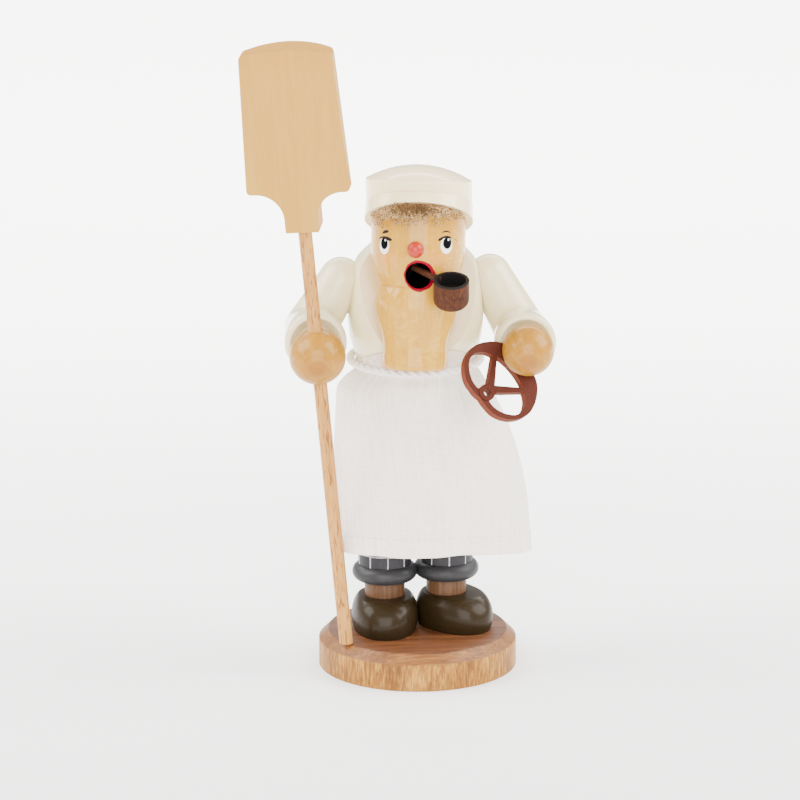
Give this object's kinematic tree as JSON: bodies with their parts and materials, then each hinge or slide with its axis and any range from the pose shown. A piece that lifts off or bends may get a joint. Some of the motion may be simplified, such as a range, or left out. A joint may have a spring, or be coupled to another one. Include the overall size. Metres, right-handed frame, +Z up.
{
  "type": "incense smoker figure",
  "caption": "Turned wooden incense smoker: a baker with a bread peel and a pretzel, hollow body over a cone dish, smoke leaving the mouth, on a round base.",
  "frame": {"origin": "centre of the base plate's underside, on the surface that the figure stands on", "axes": "+Z up, -Y to the front of the figure as it is pictured, +X to the viewer's right"},
  "size_m": [0.0933, 0.0727, 0.1995],
  "materials": {
    "base_beech": "clear satin lacquer",
    "dowel_wood": "bare",
    "clog_paint": "olive-brown gloss paint",
    "ankle_wood": "clear satin lacquer",
    "ring_paint": "dark grey gloss paint",
    "trouser_paint": "grey satin paint with a white windowpane check",
    "dish_brass": "plain",
    "tack_steel": "plain",
    "ivory_paint": "ivory semi-gloss lacquer",
    "face_wood": "clear satin lacquer",
    "hair_fur": "curly pile",
    "nose_paint": "salmon-red gloss paint",
    "hand_wood": "clear gloss lacquer",
    "pipe_wood": "dark stain",
    "stem_wood": "bare",
    "pretzel_wood": "baked-brown stain",
    "apron_cotton": "fine plain weave",
    "cord_cotton": "twisted",
    "peel_wood": "pale, bare"
  },
  "bodies": {
    "lower_figure": {"base_plate": "base_beech", "shoe_dowels": "dowel_wood", "right_shoe": "clog_paint", "left_shoe": "clog_paint", "right_ankle": "ankle_wood", "left_ankle": "ankle_wood", "right_turn_up_ring": "ring_paint", "left_turn_up_ring": "ring_paint", "right_trouser_leg": "trouser_paint", "left_trouser_leg": "trouser_paint", "hip_block": "trouser_paint", "incense_dish": "dish_brass", "dish_tack": "tack_steel"},
    "upper_figure": {"torso": "ivory_paint", "head": "face_wood", "head_dowel": "dowel_wood", "cap": "ivory_paint", "cap_dowel": "dowel_wood", "hair": "hair_fur", "nose": "nose_paint", "right_upper_arm": "ivory_paint", "left_upper_arm": "ivory_paint", "right_forearm": "ivory_paint", "left_forearm": "ivory_paint", "right_hand": "hand_wood", "left_hand": "hand_wood", "shoulder_dowels": "dowel_wood", "elbow_dowels": "dowel_wood", "hand_pegs": "dowel_wood", "pipe_bowl": "pipe_wood", "pipe_stem": "stem_wood", "pretzel": "pretzel_wood", "apron": "apron_cotton", "waist_cord": "cord_cotton", "waist_knot": "cord_cotton"},
    "peel": {"peel_rod": "peel_wood", "peel_blade": "peel_wood"}
  },
  "joints": [
    {"name": "upper_lift", "type": "slide", "parent": "lower_figure", "child": "upper_figure", "axis": [0, 0, 1], "range_m": [0, 0.07]},
    {"name": "peel_slide", "type": "slide", "parent": "upper_figure", "child": "peel", "axis": [-0.0867, -0.1011, 0.9911], "range_m": [0, 0.11]}
  ]
}
